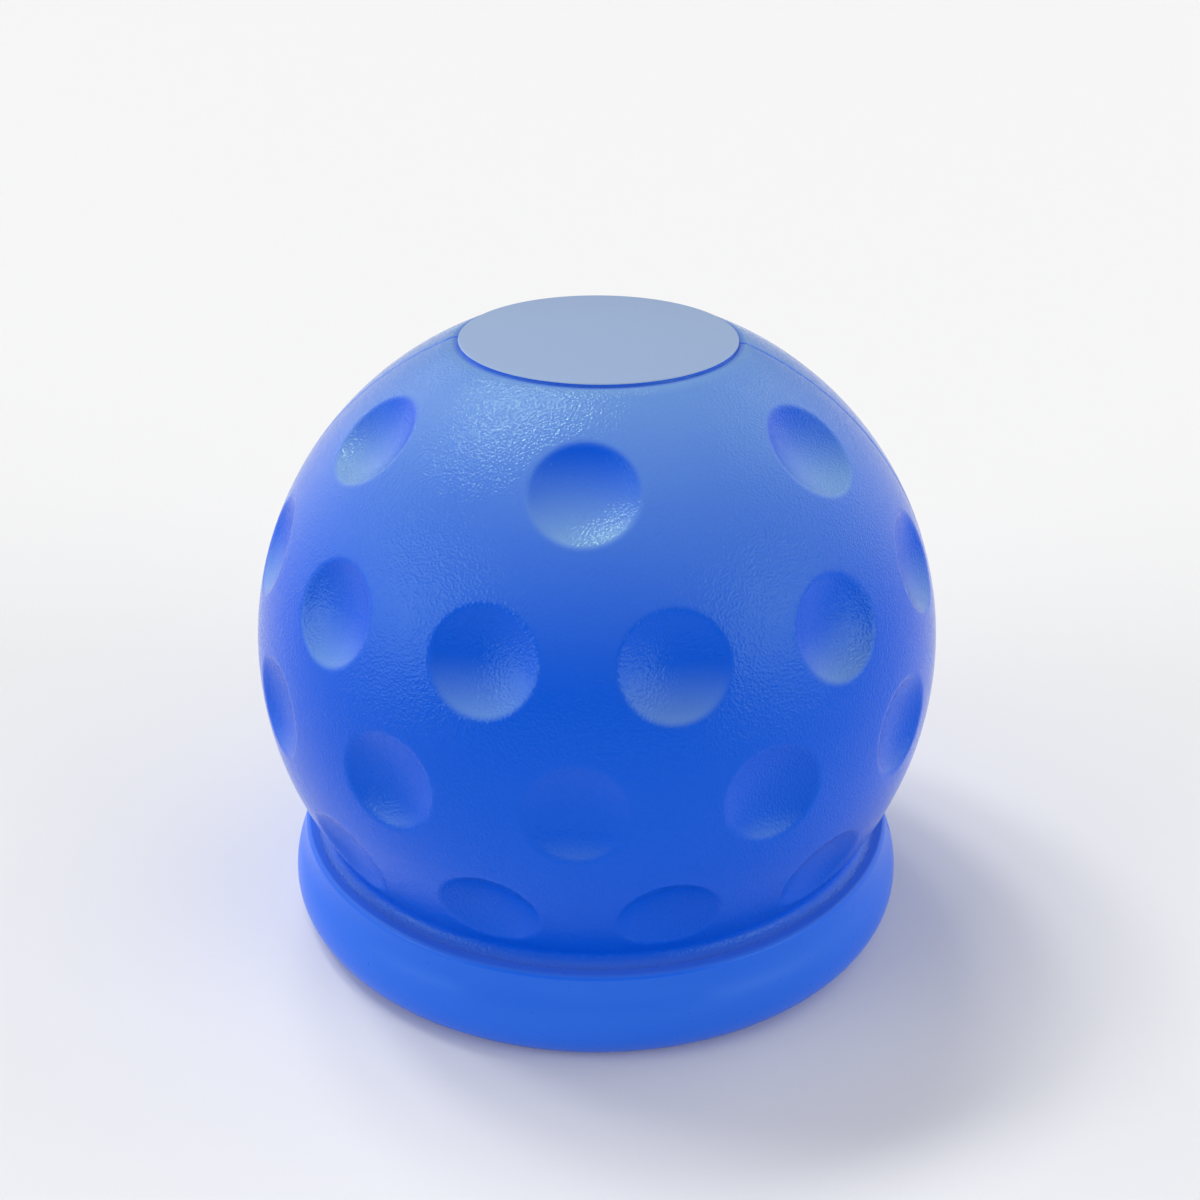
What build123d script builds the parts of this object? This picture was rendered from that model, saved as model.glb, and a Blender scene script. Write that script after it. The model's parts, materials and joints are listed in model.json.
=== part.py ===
from build123d import *

import os
from math import asin, cos, degrees, radians, sqrt

# Tow ball cover: one soft moulded cap with the dimples of a golf ball, pushed over a coupling ball.
# Z is the axis of the cover. The origin is the centre of the flat ring that it stands on.

# Coupling ball that the cover fits
coupling_ball_diameter = 50.0
pocket_clearance = 0.4

# Ball
ball_wall = 8.6
crown_wall = 6.05
pad_diameter = 26.4
pad_step = 0.4

# Throat that closes in under the coupling ball
throat_grip = 1.0
throat_length = 8.0

# Collar
neck_wall = 3.8
neck_fillet = 1.0
ledge_width = 2.9
shoulder_fillet = 0.5
collar_flare = 1.3
collar_height = 9.5
collar_edge_radius = 3.4
base_ring_width = 3.6
mouth_fillet = 1.5

# Dimples: three full rows about the equator and a short one round the crown
dimple_diameter = 9.7
dimple_depth = 1.1
dimples_per_row = 12
dimples_round_crown = 6
neck_margin = 2.9
crown_margin = 5.9

# Radii that follow from the sizes above
pocket_radius = coupling_ball_diameter / 2 + pocket_clearance
ball_radius = pocket_radius + ball_wall
throat_radius = coupling_ball_diameter / 2 - throat_grip
neck_radius = throat_radius + neck_wall
ledge_radius = neck_radius + ledge_width
collar_radius = ledge_radius + collar_flare
base_radius = collar_radius - collar_edge_radius
mouth_radius = base_radius - base_ring_width
pad_radius = pad_diameter / 2
dimple_radius = dimple_diameter / 2

# Heights that follow from the sizes above
ball_centre = collar_height + sqrt(ball_radius**2 - neck_radius**2)
pad_top = ball_centre + pocket_radius + crown_wall
crown = pad_top - pad_step
crown_radius = sqrt(ball_radius**2 - (crown - ball_centre) ** 2)
throat_top = ball_centre - sqrt(pocket_radius**2 - throat_radius**2)
throat_bottom = throat_top - throat_length

# Angles on the ball, in degrees up from its equator
dimple_half_angle = degrees(asin(dimple_radius / ball_radius))
neck_angle = -degrees(asin((ball_centre - collar_height) / ball_radius))
crown_angle = degrees(asin((crown - ball_centre) / ball_radius))
low_row_angle = neck_angle + degrees(neck_margin / ball_radius) + dimple_half_angle
crown_row_angle = crown_angle - degrees(crown_margin / ball_radius) - dimple_half_angle


def outer_edges():
    """Outside of the section, from the middle of the pad down to the edge of the base ring."""
    ledge_edge = (ledge_radius, collar_height)
    widest = (collar_radius, collar_edge_radius)
    middle = ((ledge_radius + collar_radius) / 2, (collar_height + collar_edge_radius) / 2)
    cove = TangentArc(ledge_edge, middle, tangent=(0, -1))
    return [
        Polyline((0, pad_top), (pad_radius, pad_top), (pad_radius, crown), (crown_radius, crown)),
        ThreePointArc((crown_radius, crown), (ball_radius, ball_centre), (neck_radius, collar_height)),
        Line((neck_radius, collar_height), ledge_edge),
        cove,
        TangentArc(middle, widest, tangent=cove % 1),
        TangentArc(widest, (base_radius, 0), tangent=(0, -1)),
    ]


def inner_edges():
    """Inside of the section, from the edge of the base ring up to the top of the pocket."""
    throat_corner = (throat_radius, throat_top)
    pocket_side = (pocket_radius, ball_centre)
    pocket_top = (0, ball_centre + pocket_radius)
    return [
        Polyline((base_radius, 0), (mouth_radius, 0), (throat_radius, throat_bottom), throat_corner),
        ThreePointArc(throat_corner, pocket_side, pocket_top),
        Line(pocket_top, (0, pad_top)),
    ]


def round_corner(section, corner, radius):
    """The section with one of its corners, given by radius and height, rounded off."""
    return fillet(section.vertices().sort_by_distance(corner)[0], radius)


def half_section():
    """Half of the cover's section, with its radius along X and its height along Y."""
    section = make_face(outer_edges() + inner_edges())
    section = round_corner(section, (neck_radius, collar_height), neck_fillet)
    section = round_corner(section, (ledge_radius, collar_height), shoulder_fillet)
    return round_corner(section, (mouth_radius, 0), mouth_fillet)


def plain_shell():
    """The cover without its dimples: ball, collar and pocket, turned about Z."""
    return revolve(Plane.XZ * half_section(), Axis.Z)


def dimple_lens():
    """Lens that presses one dimple, with its lowest point at the origin and its flat back up.

    The poles of its sphere lie off to the sides, clear of the dimple.
    """
    bowl_radius = (dimple_radius**2 + dimple_depth**2) / (2 * dimple_depth)
    bulge = ball_radius - ball_radius * cos(radians(dimple_half_angle))
    bowl = Pos(Z=bowl_radius) * Rot(X=90) * Sphere(bowl_radius)
    return split(bowl, Plane.XY.offset(dimple_depth + 2 * bulge), keep=Keep.BOTTOM)


def dimple_seat(turn, up):
    """Plane on the floor of a dimple, at an angle round from the front and an angle up from the equator."""
    floor = ball_radius * cos(radians(dimple_half_angle)) - dimple_depth
    outward = Vector(0, -1, 0).rotate(Axis.X, -up).rotate(Axis.Z, turn)
    return Plane(outward * floor + Vector(0, 0, ball_centre), z_dir=outward)


def dimple_row(count, up, start):
    """Lenses spread evenly round the ball at one height, the first of them at the start angle."""
    lens = dimple_lens()
    return [dimple_seat(start + 360 / count * i, up) * lens for i in range(count)]


def dimples():
    """Lenses of all the dimples, with each full row half a step round from the next."""
    half_step = 180 / dimples_per_row
    return [
        *dimple_row(dimples_round_crown, crown_row_angle, 0),
        *dimple_row(dimples_per_row, -low_row_angle, half_step),
        *dimple_row(dimples_per_row, 0, 0),
        *dimple_row(dimples_per_row, low_row_angle, half_step),
    ]


os.makedirs("parts", exist_ok=True)
export_step(plain_shell() - dimples(), "parts/ball_cover.step")
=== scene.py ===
import json
import logging
import math
from collections.abc import Mapping, Sequence
from dataclasses import dataclass
from enum import Enum

import bpy
import numpy as np
from mathutils import Matrix, Vector


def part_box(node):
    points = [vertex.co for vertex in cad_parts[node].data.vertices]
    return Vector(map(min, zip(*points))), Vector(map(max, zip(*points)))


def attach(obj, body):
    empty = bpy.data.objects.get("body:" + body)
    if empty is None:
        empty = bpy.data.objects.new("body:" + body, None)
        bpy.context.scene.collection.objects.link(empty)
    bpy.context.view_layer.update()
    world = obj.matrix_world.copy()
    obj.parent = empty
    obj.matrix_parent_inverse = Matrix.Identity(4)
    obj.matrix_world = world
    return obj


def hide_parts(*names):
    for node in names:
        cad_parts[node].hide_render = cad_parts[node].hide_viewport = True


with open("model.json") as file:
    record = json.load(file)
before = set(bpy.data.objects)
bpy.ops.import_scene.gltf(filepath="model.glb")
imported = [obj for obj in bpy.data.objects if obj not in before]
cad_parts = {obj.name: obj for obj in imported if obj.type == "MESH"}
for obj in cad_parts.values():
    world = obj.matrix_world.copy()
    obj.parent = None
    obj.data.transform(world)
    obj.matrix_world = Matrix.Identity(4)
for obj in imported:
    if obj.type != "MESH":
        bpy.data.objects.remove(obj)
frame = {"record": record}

LOG = logging.getLogger("tow_ball_cover")
NODE = "ball_cover"
# Vertex attribute that holds how much pale sheen is painted on, standing in for reflected overhead
# light.
PAINTED_SHEEN = "bloom"
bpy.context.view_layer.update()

# One millimetre, and how close two places are when they count as one, in metres
MM = 0.001
TOUCH = MM / 1000

# Slack of a test on a size, in millimetres
NEAR = 0.01

WHITE = (1.0, 1.0, 1.0, 1.0)

Point = tuple[float, float]
Colour = tuple[float, float, float]
SocketValue = "Socket | float | Sequence[float]"


def arc(centre: Point, radius: float, start: float, end: float, steps: int) -> list[Point]:
    """Points along a round stretch of a section.

    Args:
        centre: Centre of the arc, as radius and height.
        radius: Radius of the arc.
        start: Angle of the first point in degrees, from straight out and up.
        end: Angle of the last point.
        steps: Number of steps between the first point and the last.

    Returns:
        The points, both ends included.
    """
    angles = np.radians(np.linspace(start, end, steps + 1))
    return [(centre[0] + radius * math.cos(a), centre[1] + radius * math.sin(a)) for a in angles]


class Surface(Enum):
    """The moulded surfaces of the cover, in the order of the mesh's material slots."""

    GRAINED = 0
    COLLAR = 1
    PAD = 2
    CORE = 3


class Grain(Enum):
    """Kinds of texture that the mould leaves, by the node that draws them."""

    ERODED = "ShaderNodeTexVoronoi"
    SOFT = "ShaderNodeTexNoise"


class Operation(Enum):
    """Math node operations that a wrapped socket can add."""

    ADD = "ADD"
    SUBTRACT = "SUBTRACT"
    MULTIPLY = "MULTIPLY"


class Socket:
    """A node's output that can be used in plain arithmetic."""

    def __init__(self, shader: "Shader", output: bpy.types.NodeSocket) -> None:
        """Wrap one output of one of the shader's nodes."""
        self.shader = shader
        self.output = output

    def _math(self, operation: Operation, first: SocketValue, second: SocketValue) -> "Socket":
        """Add a Math node for two values.

        Args:
            operation: What the node works out.
            first: Value or socket of its first input.
            second: Value or socket of its second input.

        Returns:
            The node's result.
        """
        settings = {"operation": operation.value}
        return self.shader.node("ShaderNodeMath", settings, {0: first, 1: second})

    def __add__(self, other: SocketValue) -> "Socket":
        """Sum of the socket and a value."""
        return self._math(Operation.ADD, self, other)

    __radd__ = __add__

    def __sub__(self, other: SocketValue) -> "Socket":
        """The socket less a value."""
        return self._math(Operation.SUBTRACT, self, other)

    def __rsub__(self, other: SocketValue) -> "Socket":
        """A value less the socket."""
        return self._math(Operation.SUBTRACT, other, self)

    def __mul__(self, other: SocketValue) -> "Socket":
        """Product of the socket and a value."""
        return self._math(Operation.MULTIPLY, self, other)

    __rmul__ = __mul__


class Shader:
    """A node tree that is written as expressions."""

    def __init__(self, tree: bpy.types.NodeTree) -> None:
        """Start from an empty tree."""
        self.tree = tree
        tree.nodes.clear()

    def node(
        self,
        kind: str,
        settings: Mapping[str, object] | None = None,
        inputs: Mapping[str | int, SocketValue] | None = None,
        output: str | int = 0,
    ) -> Socket:
        """Add one node.

        Args:
            kind: Blender's name for the node's type.
            settings: The node's own settings, which are set before its sockets.
            inputs: Values or wrapped sockets for its inputs, by name or number.
            output: The output that is handed back.

        Returns:
            The chosen output.
        """
        made = self.tree.nodes.new(kind)
        for name, value in (settings or {}).items():
            setattr(made, name, value)
        for key, value in (inputs or {}).items():
            if isinstance(value, Socket):
                self.tree.links.new(value.output, made.inputs[key])
            else:
                made.inputs[key].default_value = value
        return Socket(self, made.outputs[output] if made.outputs else None)

    def mix(self, share: SocketValue, first: SocketValue, second: SocketValue) -> Socket:
        """Blend two colours.

        Args:
            share: How much of the second colour shows, 0 to 1.
            first: The first colour.
            second: The second colour.

        Returns:
            The blended colour.
        """
        return self.node("ShaderNodeMix", {"data_type": "RGBA"}, {0: share, 6: first, 7: second}, 2)


@dataclass(frozen=True)
class RubberFinish:
    """A soft moulded rubber surface.

    Attributes:
        name: Name of the material.
        colour: Colour of the rubber.
        bloom: Pale colour of the sheen that is painted where the rubber faces up, in place of the
            light it reflects there.
        painted_sheen_share: How much of the painted sheen shows on a level face.
        roughness: Middle roughness of the surface.
        gloss: Specular level.
        grain_size: Width of one grain of the mould's texture, in millimetres.
        grain_depth: Depth of the grain, in millimetres.
        texture: Kind of the grain.
        roughness_spread: How much the roughness changes from grain to grain.
        eroding: How far eroded grains melt into each other, 0 to 1.
        cloud_size: Width of the faint clouds in the painted sheen, in millimetres.
        cloud_detail: How ragged the clouds are.
        cloud_share: How much the clouds change the painted sheen.
        tint: Tint of the straight reflection.
    """

    name: str
    colour: Colour
    bloom: Colour
    painted_sheen_share: float
    roughness: float
    gloss: float
    grain_size: float
    grain_depth: float
    texture: Grain = Grain.SOFT
    roughness_spread: float = 0.12
    eroding: float = 0.4
    cloud_size: float = 9.0
    cloud_detail: float = 3.0
    cloud_share: float = 0.3
    tint: Colour = (0.57, 0.95, 0.5)

    def material(self) -> bpy.types.Material:
        """Make the material.

        Returns:
            The finished material.
        """
        made = bpy.data.materials.new(self.name)
        made.use_nodes = True
        shader = Shader(made.node_tree)
        place = shader.node("ShaderNodeTexCoord", output="Object")
        grain = self.grain(shader, place)
        bump = shader.node(
            "ShaderNodeBump",
            inputs={"Strength": 1.0, "Distance": self.grain_depth * MM, "Height": grain},
        )
        body = shader.node(
            "ShaderNodeBsdfPrincipled",
            inputs={
                "Base Color": self.shade(shader, place),
                "Roughness": (grain - 0.5) * self.roughness_spread + self.roughness,
                "Specular IOR Level": self.gloss,
                "Specular Tint": (*self.tint, 1),
                "Normal": bump,
            },
        )
        shader.node("ShaderNodeOutputMaterial", inputs={"Surface": body})
        return made

    def shade(self, shader: Shader, place: Socket) -> Socket:
        """Colour of the rubber with the pale sheen painted on it where it faces up.

        Args:
            shader: The tree that the nodes go into.
            place: Where the surface is.

        Returns:
            The colour.
        """
        clouds = shader.node(
            "ShaderNodeTexNoise",
            inputs={
                "Vector": place,
                "Scale": 1 / (self.cloud_size * MM),
                "Detail": self.cloud_detail,
            },
        )
        # Painted sheen: the pale colour is mixed in by each vertex's painted-sheen level, in place
        # of reflected light.
        level = shader.node("ShaderNodeAttribute", {"attribute_name": PAINTED_SHEEN}, output="Fac")
        share = level * self.painted_sheen_share * ((clouds - 0.5) * self.cloud_share + 1.0)
        return shader.mix(share, (*self.colour, 1), (*self.bloom, 1))

    def grain(self, shader: Shader, place: Socket) -> Socket:
        """Height of the grain that the mould leaves.

        Args:
            shader: The tree that the nodes go into.
            place: Where the surface is.

        Returns:
            The height, about 0 to 1.
        """
        inputs = {"Vector": place, "Scale": 1 / (self.grain_size * MM)}
        if self.texture is Grain.SOFT:
            return shader.node(self.texture.value, inputs=inputs)
        inputs["Smoothness"] = self.eroding
        return shader.node(self.texture.value, {"feature": "SMOOTH_F1"}, inputs, "Distance")


@dataclass
class DimplePattern:
    """The dimples of the ball, in millimetres and degrees.

    Attributes:
        ball_radius: Radius of the ball that they are pressed into.
        diameter: Width of a dimple.
        depth: Depth of its bowl below its edge.
        rim_radius: Radius that rounds its edge.
        fine_bands: Bands round a dimple's axis, from angle to angle, whose mesh is made finer.
        rows: Angle up from the equator, number of dimples, and angle of the first, for each row.
    """

    ball_radius: float
    diameter: float = 9.7
    depth: float = 1.1
    rim_radius: float = 0.9
    fine_bands: tuple[tuple[float, float], ...] = ((0.0, 11.0), (6.6, 10.2))
    rows: tuple[tuple[float, int, float], ...] = (
        (47.81, 6, 0.0),
        (22.06, 12, 15.0),
        (0.0, 12, 0.0),
        (-22.06, 12, 15.0),
    )

    def axes(self) -> np.ndarray:
        """Directions of all the dimples from the centre of the ball.

        Returns:
            The directions, one row of numbers each.
        """
        found = []
        for up, count, start in self.rows:
            level, height = math.cos(math.radians(up)), math.sin(math.radians(up))
            for turn in np.radians(start + 360 / count * np.arange(count)):
                found.append((level * math.sin(turn), -level * math.cos(turn), height))
        return np.array(found)

    def reach(self, angles: np.ndarray) -> np.ndarray:
        """How far the surface lies from the ball's centre, by angle from the nearest dimple's axis.

        Args:
            angles: Angles from the axis, in radians.

        Returns:
            The distances, which are the ball's radius outside the dimple.
        """
        ball, rim = self.ball_radius, self.rim_radius
        half = self.diameter / 2
        bowl = (half**2 + self.depth**2) / (2 * self.depth)
        bowl_centre = math.sqrt(ball**2 - half**2) - self.depth + bowl
        rim_reach = ball - rim
        rim_angle = math.acos(
            (rim_reach**2 + bowl_centre**2 - (bowl + rim) ** 2) / (2 * bowl_centre * rim_reach)
        )
        rim_centre = rim_reach * np.array((math.sin(rim_angle), math.cos(rim_angle)))
        towards_rim = (rim_centre - (0, bowl_centre)) / (bowl + rim)
        seam = np.array((0, bowl_centre)) + bowl * towards_rim
        bowl_angle = math.atan2(seam[0], seam[1])
        along_bowl = bowl_centre * np.cos(angles)
        in_bowl = along_bowl - np.sqrt(np.maximum(along_bowl**2 - bowl_centre**2 + bowl**2, 0))
        along_rim = rim_reach * np.cos(angles - rim_angle)
        on_rim = along_rim + np.sqrt(np.maximum(along_rim**2 - rim_reach**2 + rim**2, 0))
        return np.where(angles < bowl_angle, in_bowl, np.where(angles < rim_angle, on_rim, ball))


@dataclass
class CoverSection:
    """Section of the cover, in millimetres, as radius from its axis and height above its base.

    The fields that end in steps say how finely each round stretch is drawn, and ball_step is the
    length of one step along the ball.
    """

    ball_centre: float
    pad_top: float
    pocket_radius: float
    throat_radius: float
    throat_middle: float
    throat_length: float
    ball_wall: float = 8.6
    pad_radius: float = 13.2
    pad_step: float = 0.4
    pad_edge: float = 0.12
    neck_wall: float = 3.8
    neck_fillet: float = 1.0
    ledge_width: float = 2.9
    shoulder_fillet: float = 0.5
    collar_flare: float = 1.3
    collar_height: float = 9.5
    collar_edge: float = 3.4
    base_ring: float = 3.6
    mouth_fillet: float = 1.5
    ball_step: float = 1.0
    pad_edge_steps: int = 3
    neck_steps: int = 6
    shoulder_steps: int = 5
    collar_steps: int = 8
    collar_edge_steps: int = 12
    mouth_steps: int = 8
    pocket_steps: int = 48

    @property
    def ball_radius(self) -> float:
        """Radius of the ball."""
        return self.pocket_radius + self.ball_wall

    @property
    def crown(self) -> float:
        """Height where the ball ends at the foot of the pad."""
        return self.pad_top - self.pad_step

    @property
    def ledge_radius(self) -> float:
        """Radius of the edge of the ledge under the ball."""
        return self.throat_radius + self.neck_wall + self.ledge_width

    @property
    def collar_radius(self) -> float:
        """Radius of the collar where it is widest."""
        return self.ledge_radius + self.collar_flare

    @property
    def base_radius(self) -> float:
        """Outer radius of the flat ring that the cover stands on."""
        return self.collar_radius - self.collar_edge

    def ball_points(self) -> list[Point]:
        """Outside of the ball, from the pad's edge down to the ledge.

        Returns:
            The points of the section.
        """
        crown, ball = self.crown, self.ball_radius
        crown_angle = math.degrees(math.asin((crown - self.ball_centre) / ball))
        crown_radius = ball * math.cos(math.radians(crown_angle))
        fillet_height = self.collar_height + self.neck_fillet
        fillet_reach = ball + self.neck_fillet
        neck_angle = math.degrees(math.asin((fillet_height - self.ball_centre) / fillet_reach))
        fillet_radius = fillet_reach * math.cos(math.radians(neck_angle))
        steps = round(math.radians(crown_angle - neck_angle) * ball / self.ball_step)
        edge_centre = (self.pad_radius - self.pad_edge, self.pad_top - self.pad_edge)
        edge = arc(edge_centre, self.pad_edge, 90, 0, self.pad_edge_steps)
        ball_arc = arc((0, self.ball_centre), ball, crown_angle, neck_angle, steps)
        neck_centre = (fillet_radius, fillet_height)
        neck = arc(neck_centre, self.neck_fillet, 180 + neck_angle, 270, self.neck_steps)
        return [*edge, (self.pad_radius, crown), (crown_radius, crown), *ball_arc[1:], *neck[1:]]

    def collar_points(self) -> list[Point]:
        """Outside of the collar, from the edge of the ledge down to the base ring.

        Returns:
            The points of the section.
        """
        rise = self.collar_height - self.collar_edge
        sweep = (rise**2 + self.collar_flare**2) / (4 * self.collar_flare)
        lean = math.degrees(2 * math.atan(self.collar_flare / rise))
        cove_centre = (self.ledge_radius + sweep, self.collar_height)
        bulge_centre = (self.collar_radius - sweep, self.collar_edge)
        fillet = self.shoulder_fillet
        shoulder_height = self.collar_height - fillet
        dip = math.degrees(math.asin(fillet / (sweep + fillet)))
        shoulder_radius = cove_centre[0] - (sweep + fillet) * math.cos(math.radians(dip))
        shoulder = arc((shoulder_radius, shoulder_height), fillet, 90, dip, self.shoulder_steps)
        cove = arc(cove_centre, sweep, 180 + dip, 180 + lean, self.collar_steps)
        bulge = arc(bulge_centre, sweep, lean, 0, self.collar_steps)
        edge_centre = (self.base_radius, self.collar_edge)
        edge = arc(edge_centre, self.collar_edge, 0, -90, self.collar_edge_steps)
        return [*shoulder, *cove[1:], *bulge[1:], *edge[1:]]

    def core_points(self) -> list[Point]:
        """Inside of the cover, from the base ring up to the top of the pocket.

        Returns:
            The points of the section.
        """
        throat_top = self.throat_middle + self.throat_length / 2
        throat_bottom = self.throat_middle - self.throat_length / 2
        mouth = self.base_radius - self.base_ring
        draft = math.degrees(math.atan2(mouth - self.throat_radius, throat_bottom))
        touch = self.mouth_fillet * math.tan(math.radians(90 - draft) / 2)
        lead_in_centre = (mouth + touch, self.mouth_fillet)
        lead_in = arc(lead_in_centre, self.mouth_fillet, 270, 180 + draft, self.mouth_steps)
        start = math.degrees(math.asin((throat_top - self.ball_centre) / self.pocket_radius))
        pocket = arc((0, self.ball_centre), self.pocket_radius, start, 90, self.pocket_steps)
        return [*lead_in, (self.throat_radius, throat_bottom), *pocket]


@dataclass
class BallCover:
    """The whole cover: a moulded ball with its collar, pocket and dimples.

    Attributes:
        section: The section that is turned about the axis.
        dimples: The dimples that are pressed into the ball.
        ball_columns: Number of mesh columns round the ball.
        collar_columns: Number of columns round the collar.
        core_columns: Number of columns round the inside.
        smooth_angle: Edges that turn by less than this are shaded smooth, in degrees.
        edge_reach: How near to its height an open edge is looked for, in millimetres.
        seam_width: Width of the parting line, in millimetres.
        seam_depth: Depth of the parting line, in millimetres.
        painted_sheen_start: How far up a face has to look for painted sheen to go on it, 0 to 1.
        painted_sheen_curve: How late the painted sheen grows from there to a level face.
        dimple_painted_sheen: How much more sheen is painted where a dimple looks up more than the
            ball does, which paints the lower side of each dimple lighter.
        sheen_left_in_painted_shade: Share of the painted sheen that is left under the ball, which
            paints shade on the neck and the ledge.
        collar_painted_sheen: Least painted sheen on the collar, which paints it lighter.
    """

    section: CoverSection
    dimples: DimplePattern
    ball_columns: int = 216
    collar_columns: int = 216
    core_columns: int = 144
    smooth_angle: float = 40.0
    edge_reach: float = 0.2
    seam_width: float = 0.6
    seam_depth: float = 0.16
    painted_sheen_start: float = 0.3
    painted_sheen_curve: float = 1.5
    dimple_painted_sheen: float = 0.3
    sheen_left_in_painted_shade: float = 0.35
    collar_painted_sheen: float = 0.15

    def build(self) -> bpy.types.Object:
        """Model the cover.

        Returns:
            The finished mesh object.
        """
        ball = self.turned("ball", self.section.ball_points(), self.ball_columns)
        for first, last in self.dimples.fine_bands:
            self.refine(ball, first, last)
        self.press_dimples(ball)
        collar = self.turned("collar", self.section.collar_points(), self.collar_columns)
        for surface in (ball, collar):
            self.scribe_seam(surface)
        core = self.turned("core", self.section.core_points(), self.core_columns, hollow=True)
        cover = self.joined([ball, collar, core])
        cover.name = cover.data.name = "moulded_cover"
        return cover

    def turned(
        self, name: str, points: Sequence[Point], columns: int, hollow: bool = False
    ) -> bpy.types.Object:
        """Draw a section by extruding a point along it, and spin it about the axis.

        Args:
            name: Name of the new object.
            points: The section, as radius and height in millimetres.
            columns: Number of steps round the axis.
            hollow: Whether the faces look inwards.

        Returns:
            The turned surface, open at its ends.
        """
        bpy.ops.object.select_all(action="DESELECT")
        bpy.ops.mesh.primitive_plane_add(size=MM)
        made = bpy.context.object
        made.name = name
        bpy.ops.object.mode_set(mode="EDIT")
        bpy.ops.mesh.select_mode(type="VERT")
        bpy.ops.mesh.select_all(action="SELECT")
        bpy.ops.mesh.merge(type="CENTER")
        places = [Vector((radius, 0, height)) * MM for radius, height in points]
        bpy.ops.transform.translate(value=places[0])
        for last, place in zip(places, places[1:]):
            bpy.ops.mesh.extrude_vertices_move(TRANSFORM_OT_translate={"value": place - last})
        bpy.ops.mesh.select_all(action="SELECT")
        bpy.ops.mesh.spin(steps=columns, angle=2 * math.pi, center=(0, 0, 0), axis=(0, 0, 1))
        bpy.ops.mesh.select_all(action="SELECT")
        bpy.ops.mesh.remove_doubles(threshold=TOUCH)
        bpy.ops.mesh.normals_make_consistent(inside=hollow)
        bpy.ops.object.mode_set(mode="OBJECT")
        return made

    def dimple_angles(self, places: np.ndarray) -> tuple[np.ndarray, np.ndarray]:
        """Where places lie, seen from the centre of the ball.

        Args:
            places: Places in metres, three numbers each, one after another.

        Returns:
            The directions of the places, and their angles from the nearest dimple's axis.
        """
        outward = places.reshape(-1, 3) / MM - (0, 0, self.section.ball_centre)
        outward /= np.linalg.norm(outward, axis=1)[:, None]
        nearest = (outward @ self.dimples.axes().T).max(axis=1)
        return outward, np.arccos(np.clip(nearest, -1, 1))

    def refine(self, ball: bpy.types.Object, first: float, last: float) -> None:
        """Subdivide the faces of the ball that lie in a band round each dimple.

        Args:
            ball: The turned ball.
            first: Angle from the dimple's axis where the band starts, in degrees.
            last: Angle where the band ends.
        """
        faces = ball.data.polygons
        places = np.empty(len(faces) * 3)
        faces.foreach_get("center", places)
        angles = np.degrees(self.dimple_angles(places)[1])
        self.edit(ball, "FACE")
        bpy.ops.object.mode_set(mode="OBJECT")
        faces.foreach_set("select", (angles > first) & (angles < last))
        bpy.ops.object.mode_set(mode="EDIT")
        bpy.ops.mesh.subdivide(number_cuts=1)
        bpy.ops.object.mode_set(mode="OBJECT")

    def press_dimples(self, ball: bpy.types.Object) -> None:
        """Set the fine mesh of the ball round, and sink the dimples into it.

        Args:
            ball: The turned and refined ball.
        """
        section = self.section
        vertices = ball.data.vertices
        places = np.empty(len(vertices) * 3)
        vertices.foreach_get("co", places)
        outward, angles = self.dimple_angles(places)
        places = places.reshape(-1, 3)
        centre = np.array((0, 0, section.ball_centre * MM))
        reach = np.linalg.norm(places - centre, axis=1) / MM
        on_ball = abs(reach - section.ball_radius) < NEAR
        pressed = centre + outward * self.dimples.reach(angles)[:, None] * MM
        vertices.foreach_set("co", np.where(on_ball[:, None], pressed, places).ravel())
        ball.data.update()

    def scribe_seam(self, surface: bpy.types.Object) -> None:
        """Scribe the mould's fine parting line down both sides of a turned surface.

        Args:
            surface: The outside of the ball or of the collar.
        """
        mesh = surface.data
        top = (self.section.crown - NEAR) * MM
        for side in (-self.seam_width / 2, self.seam_width / 2):
            self.edit(surface, "FACE")
            bpy.ops.object.mode_set(mode="OBJECT")
            middles = np.empty(len(mesh.polygons) * 3)
            mesh.polygons.foreach_get("center", middles)
            mesh.polygons.foreach_set("select", middles[2::3] < top)
            bpy.ops.object.mode_set(mode="EDIT")
            bpy.ops.mesh.bisect(plane_co=(0, side * MM, 0), plane_no=(0, 1, 0), threshold=TOUCH)
        self.edit(surface, "VERT")
        bpy.ops.object.mode_set(mode="OBJECT")
        places = np.empty(len(mesh.vertices) * 3)
        mesh.vertices.foreach_get("co", places)
        in_seam = (abs(places[1::3]) < TOUCH) & (places[2::3] < top)
        mesh.vertices.foreach_set("select", in_seam)
        bpy.ops.object.mode_set(mode="EDIT")
        bpy.ops.transform.shrink_fatten(value=-self.seam_depth * MM)
        bpy.ops.object.mode_set(mode="OBJECT")

    def edit(self, thing: bpy.types.Object, select_mode: str) -> None:
        """Open one object in edit mode with nothing selected.

        Args:
            thing: The object to edit.
            select_mode: Kind of element that is selected: VERT, EDGE or FACE.
        """
        if bpy.context.mode != "OBJECT":
            bpy.ops.object.mode_set(mode="OBJECT")
        bpy.ops.object.select_all(action="DESELECT")
        thing.select_set(True)
        bpy.context.view_layer.objects.active = thing
        bpy.ops.object.mode_set(mode="EDIT")
        bpy.ops.mesh.select_mode(type=select_mode)
        bpy.ops.mesh.select_all(action="DESELECT")

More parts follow.
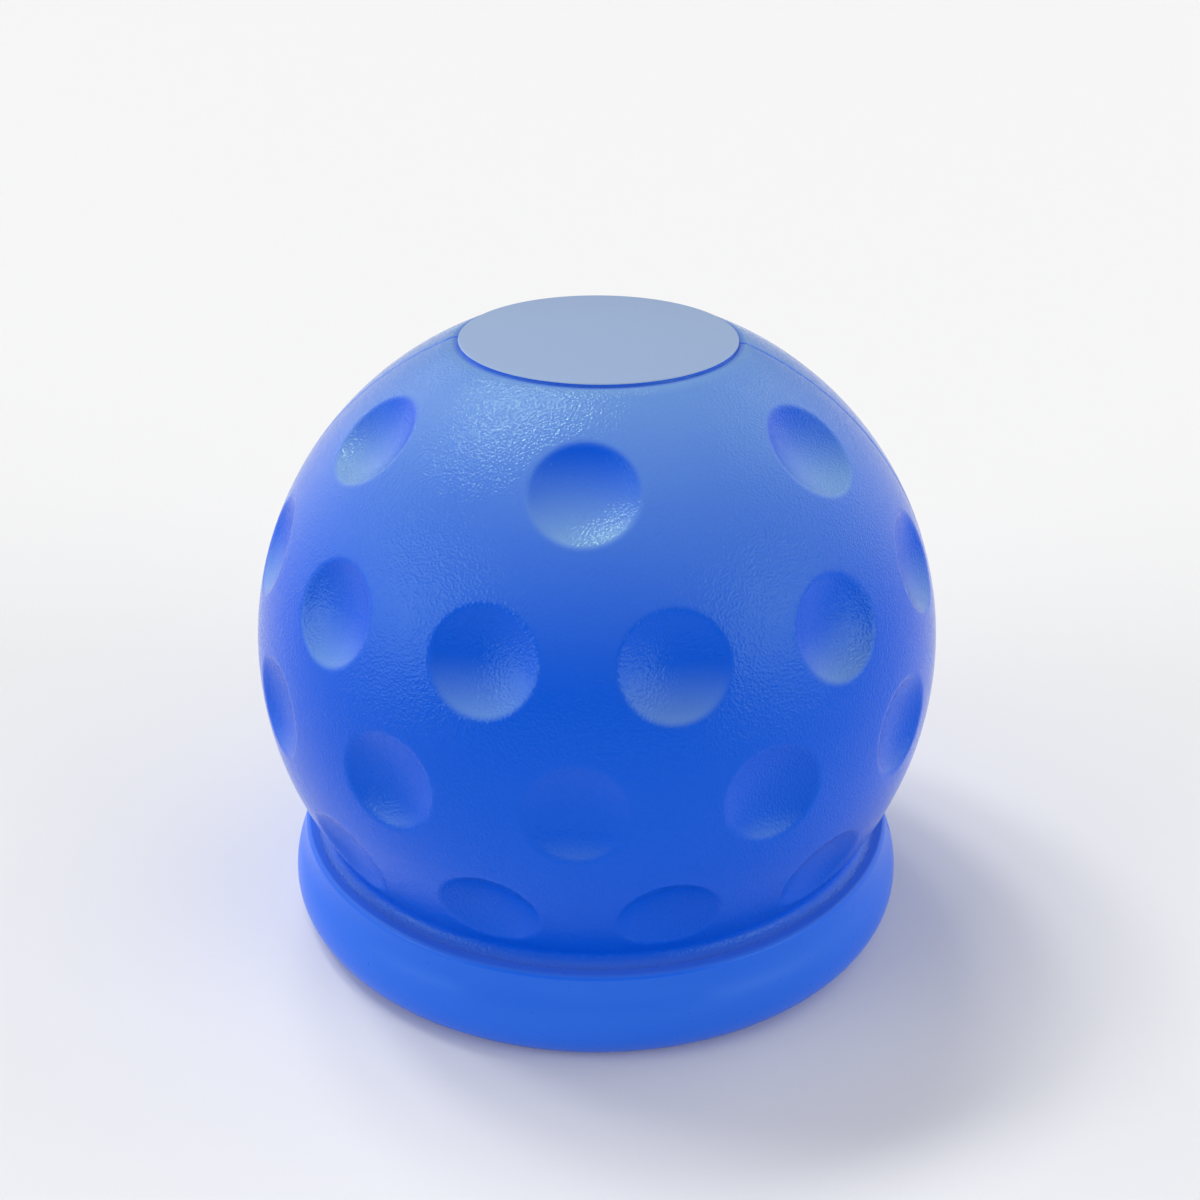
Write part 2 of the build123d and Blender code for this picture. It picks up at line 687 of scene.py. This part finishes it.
    def joined(self, surfaces: Sequence[bpy.types.Object]) -> bpy.types.Object:
        """Join the turned surfaces and close the pad, the ledge and the base ring.

        Args:
            surfaces: The ball, the collar and the core.

        Returns:
            One closed mesh object.
        """
        section = self.section
        bpy.ops.object.select_all(action="DESELECT")
        for surface in surfaces:
            surface.select_set(True)
        bpy.context.view_layer.objects.active = surfaces[0]
        bpy.ops.object.join()
        cover = bpy.context.object
        self.select_open_edges(cover, section.pad_top)
        bpy.ops.mesh.edge_face_add()
        for height in (section.collar_height, 0.0):
            self.select_open_edges(cover, height)
            bpy.ops.mesh.bridge_edge_loops()
        bpy.ops.mesh.select_all(action="SELECT")
        bpy.ops.mesh.normals_make_consistent(inside=False)
        bpy.ops.object.mode_set(mode="OBJECT")
        bpy.ops.object.select_all(action="DESELECT")
        cover.select_set(True)
        bpy.ops.object.shade_smooth_by_angle(angle=math.radians(self.smooth_angle))
        return cover

    def select_open_edges(self, cover: bpy.types.Object, height: float) -> None:
        """Select the open edges at a height, and stay in edit mode.

        Args:
            cover: The mesh to select in.
            height: Height of the edges, in millimetres.
        """
        self.edit(cover, "EDGE")
        bpy.ops.mesh.select_non_manifold(extend=False)
        bpy.ops.object.mode_set(mode="OBJECT")
        mesh = cover.data
        for edge in mesh.edges:
            if edge.select:
                first, second = (mesh.vertices[i].co.z / MM for i in edge.vertices)
                edge.select = abs((first + second) / 2 - height) < self.edge_reach
        bpy.ops.object.mode_set(mode="EDIT")

    def dress(self, cover: bpy.types.Object, finishes: Mapping[Surface, RubberFinish]) -> None:
        """Give each moulded surface its finish.

        Args:
            cover: The finished mesh.
            finishes: The finish of each surface.
        """
        self.mark_painted_sheen(cover)
        cover.data.materials.clear()
        for surface in Surface:
            cover.data.materials.append(finishes[surface].material())
        for face in cover.data.polygons:
            face.material_index = self.surface_at(face.center / MM).value

    def surface_at(self, middle: Vector) -> Surface:
        """Find the moulded surface that a face belongs to.

        Args:
            middle: Middle of the face, in millimetres.

        Returns:
            The surface.
        """
        section, radius = self.section, math.hypot(middle.x, middle.y)
        reach = math.hypot(radius, middle.z - section.ball_centre)
        throat_top = section.throat_middle + section.throat_length / 2
        in_ring = radius < section.base_radius - section.base_ring / 2
        in_mouth = in_ring and NEAR < middle.z < throat_top
        if middle.z > section.pad_top - section.pad_edge:
            return Surface.PAD
        if reach < section.pocket_radius + NEAR or in_mouth:
            return Surface.CORE
        if middle.z < section.collar_height + NEAR:
            return Surface.COLLAR
        return Surface.GRAINED

    def mark_painted_sheen(self, cover: bpy.types.Object) -> None:
        """Note on each vertex how much painted sheen it has, from 0 to 1.

        The pale sheen is painted on faces that look up, most in the lower side of each dimple,
        and a little on the collar; less is painted where the ball shades the neck and the ledge,
        which paints shade there, and none in the parting line, which paints it darker.

        Args:
            cover: The finished mesh.
        """
        section, mesh = self.section, cover.data
        normals, places = (np.empty(len(mesh.vertices) * 3) for _ in range(2))
        mesh.vertices.foreach_get("normal", normals)
        mesh.vertices.foreach_get("co", places)
        outward = self.dimple_angles(places)[0]
        facing, heights = normals[2::3], places[2::3] / MM
        radii = np.hypot(places[0::3], places[1::3]) / MM
        low = heights < section.collar_height + section.neck_fillet
        collar = low & (radii > section.ledge_radius)
        # Painted highlight: the lower side of each dimple, which looks up more than the ball, gets
        # more pale sheen.
        lean = np.where(low, 0, facing - outward[:, 2])
        sheen_facing = facing + self.dimple_painted_sheen * lean
        raised = np.clip((sheen_facing - self.painted_sheen_start) / (1 - self.painted_sheen_start), 0, 1)
        level = raised**self.painted_sheen_curve
        # Painted light: the collar gets at least this much pale sheen.
        level[collar] = np.maximum(level[collar], self.collar_painted_sheen)
        # Painted shade: the neck and the ledge under the ball keep only part of the painted sheen.
        level[low & ~collar] *= self.sheen_left_in_painted_shade
        # Painted shade: no pale sheen in the parting line, which paints the groove darker.
        level[abs(places[1::3]) < TOUCH] = 0
        mesh.attributes.new(PAINTED_SHEEN, "FLOAT", "POINT").data.foreach_set("value", level)


@dataclass(frozen=True)
class SoftLight:
    """A large far-off studio light.

    Attributes:
        name: Name of the lamp.
        turn: Angle round from the front, in degrees.
        rise: Angle up from the floor, in degrees.
        width: How wide the light looks from the object, in degrees.
        power: Strength of the lamp.
    """

    name: str
    turn: float
    rise: float
    width: float
    power: float


@dataclass
class Studio:
    """Camera, floor and soft light, with lengths in millimetres and angles in degrees.

    Attributes:
        aim: Middle of the ball, which the camera's distance is counted from.
        ball_radius: Radius of the ball, which the camera's distance is given in.
        turn: Angle of the camera round from the front.
        rise: Angle of the camera up from the floor.
        distance_in_radii: Distance of the camera, in radii of the ball.
        lean: Angle that the camera leans sideways.
        aside: How far to the right of the aim the camera looks, as a slope.
        above: How far above the aim the camera looks, as a slope.
        focal_pixels: Focal length, in pixels of the image.
        image_pixels: Width of the image, in pixels.
        sensor: Width of the camera's sensor.
        floor_size: Length of the floor's sides.
        floor_shade: Grey level of the floor.
        floor_roughness: Roughness of the floor.
        floor_gloss: Specular level of the floor.
        room_level: Strength of the even light of the room.
        lights: The soft lights.
    """

    aim: Vector
    ball_radius: float
    turn: float = 2.9
    rise: float = 27.7
    distance_in_radii: float = 5.25
    lean: float = 0.285
    aside: float = 0.0016
    above: float = 0.0184
    focal_pixels: float = 1747.4
    image_pixels: float = 1200.0
    sensor: float = 36.0
    floor_size: float = 4000.0
    floor_shade: float = 0.82
    floor_roughness: float = 0.9
    floor_gloss: float = 0.1
    room_level: float = 0.27
    lights: tuple[SoftLight, ...] = (
        SoftLight("key_side_light", -112.0, 57.0, 10.0, 0.5),
        SoftLight("key_light", -134.0, 62.0, 10.0, 0.63),
        SoftLight("key_back_light", -160.0, 63.0, 10.0, 0.36),
        SoftLight("front_light", 0.0, 48.0, 90.0, 0.25),
        SoftLight("left_light", -65.0, 13.0, 44.0, 1.4),
        SoftLight("right_light", 65.0, 13.0, 44.0, 1.3),
        SoftLight("left_back_light", -120.0, 20.0, 60.0, 0.85),
        SoftLight("right_back_light", 120.0, 20.0, 60.0, 0.85),
    )

    def direction(self, turn: float, rise: float) -> Vector:
        """Direction from the object, by an angle round from the front and an angle up."""
        a, e = math.radians(turn), math.radians(rise)
        return Vector((math.sin(a) * math.cos(e), -math.cos(a) * math.cos(e), math.sin(e)))

    def set_camera(self) -> None:
        """Put the camera where the photograph was taken from."""
        outward = self.direction(self.turn, self.rise)
        right = Vector((math.cos(math.radians(self.turn)), math.sin(math.radians(self.turn)), 0))
        up = right.cross(-outward)
        forward = (-outward + self.aside * right + self.above * up).normalized()
        right = (right - forward * right.dot(forward)).normalized()
        up = right.cross(forward)
        lean = math.radians(self.lean)
        tilted_right = math.cos(lean) * right + math.sin(lean) * up
        tilted_up = math.cos(lean) * up - math.sin(lean) * right
        data = bpy.data.cameras.new("camera")
        data.sensor_width = self.sensor
        data.lens = self.sensor * self.focal_pixels / self.image_pixels
        data.clip_start = MM
        camera = bpy.data.objects.new("camera", data)
        turned = Matrix((tilted_right, tilted_up, -forward)).transposed().to_4x4()
        place = self.aim + outward * self.distance_in_radii * self.ball_radius
        camera.matrix_world = Matrix.Translation(place * MM) @ turned
        bpy.context.scene.collection.objects.link(camera)
        bpy.context.scene.camera = camera

    def set_lights(self) -> None:
        """Hang the soft lights and light the room evenly."""
        for light in self.lights:
            data = bpy.data.lights.new(light.name, "SUN")
            data.angle = math.radians(light.width)
            data.energy = light.power
            lamp = bpy.data.objects.new(light.name, data)
            towards = self.direction(light.turn, light.rise)
            lamp.matrix_world = towards.to_track_quat("Z", "Y").to_matrix().to_4x4()
            bpy.context.scene.collection.objects.link(lamp)
        world = bpy.data.worlds.new("room")
        world.use_nodes = True
        shader = Shader(world.node_tree)
        even = {"Color": WHITE, "Strength": self.room_level}
        room = shader.node("ShaderNodeBackground", inputs=even)
        shader.node("ShaderNodeOutputWorld", inputs={"Surface": room})
        bpy.context.scene.world = world

    def lay_floor(self) -> None:
        """Lay the plain pale floor."""
        bpy.ops.object.select_all(action="DESELECT")
        bpy.ops.mesh.primitive_plane_add(size=self.floor_size * MM)
        floor = bpy.context.object
        floor.name = "floor"
        made = bpy.data.materials.new("pale_floor")
        made.use_nodes = True
        shader = Shader(made.node_tree)
        body = shader.node(
            "ShaderNodeBsdfPrincipled",
            inputs={
                "Base Color": (*[self.floor_shade] * 3, 1),
                "Roughness": self.floor_roughness,
                "Specular IOR Level": self.floor_gloss,
            },
        )
        shader.node("ShaderNodeOutputMaterial", inputs={"Surface": body})
        floor.data.materials.append(made)


def mount(name: str) -> Mapping[str, object]:
    """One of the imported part's mounts.

    Args:
        name: The mount's name.

    Returns:
        The mount as the record gives it.
    """
    return next(m for m in frame["record"]["mounts"] if m["name"] == name)


def cover_section() -> CoverSection:
    """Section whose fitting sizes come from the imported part.

    Returns:
        The section.
    """
    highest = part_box(NODE)[1]
    pocket, throat = mount("ball_pocket"), mount("throat")
    return CoverSection(
        ball_centre=pocket["pos_m"][2] / MM,
        pad_top=highest.z / MM,
        pocket_radius=pocket["dims"]["r_mm"],
        throat_radius=throat["dims"]["r_mm"],
        throat_middle=throat["pos_m"][2] / MM,
        throat_length=throat["dims"]["length_mm"],
    )


def cover_finishes() -> dict[Surface, RubberFinish]:
    """Finish of each moulded surface: one blue rubber with the mould's grain, a pale sheen painted
    where it faces up, a lighter blue painted on the collar and a pale painted reflection on the
    pad.

    Returns:
        The finishes.
    """
    blue, collar_painted_light_blue, pad_painted_reflection = (0.001, 0.089, 0.68), (0.002, 0.111, 0.77), (0.305, 0.405, 0.61)
    # pale is the colour of the painted sheen, which stands in for the light that upward faces
    # reflect.
    pale = (0.43, 0.7, 0.57)
    return {
        Surface.GRAINED: RubberFinish(
            name="grained_rubber",
            colour=blue,
            bloom=pale,
            painted_sheen_share=0.36,
            roughness=0.12,
            gloss=0.24,
            grain_size=0.24,
            grain_depth=0.046,
            texture=Grain.ERODED,
        ),
        # The collar's blue is a lighter copy of the rubber's blue, which paints light on the collar
        # where the ball shades it.
        Surface.COLLAR: RubberFinish(
            name="collar_rubber",
            colour=collar_painted_light_blue,
            bloom=pale,
            painted_sheen_share=0.3,
            roughness=0.3,
            gloss=0.24,
            grain_size=0.5,
            grain_depth=0.008,
        ),
        # The pad's pale blue-grey is a painted reflection of the bright backdrop on the same blue
        # rubber.
        Surface.PAD: RubberFinish(
            name="smooth_pad",
            colour=pad_painted_reflection,
            bloom=pale,
            painted_sheen_share=0.0,
            roughness=0.4,
            gloss=0.25,
            grain_size=0.3,
            grain_depth=0.0,
        ),
        Surface.CORE: RubberFinish(
            name="core_rubber",
            colour=blue,
            bloom=pale,
            painted_sheen_share=0.2,
            roughness=0.4,
            gloss=0.2,
            grain_size=0.3,
            grain_depth=0.01,
        ),
    }


def main() -> None:
    """Build the cover, dress it and set up the studio."""
    logging.basicConfig(level=logging.INFO)
    section = cover_section()
    cover = BallCover(section, DimplePattern(section.ball_radius))
    piece = cover.build()
    cover.dress(piece, cover_finishes())
    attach(piece, "root")
    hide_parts(NODE)
    LOG.info("%s has %d faces", piece.name, len(piece.data.polygons))
    studio = Studio(aim=Vector((0, 0, section.ball_centre)), ball_radius=section.ball_radius)
    studio.set_camera()
    studio.set_lights()
    studio.lay_floor()
    bpy.context.scene.view_settings.view_transform = "Standard"


if __name__ == "__main__":
    main()
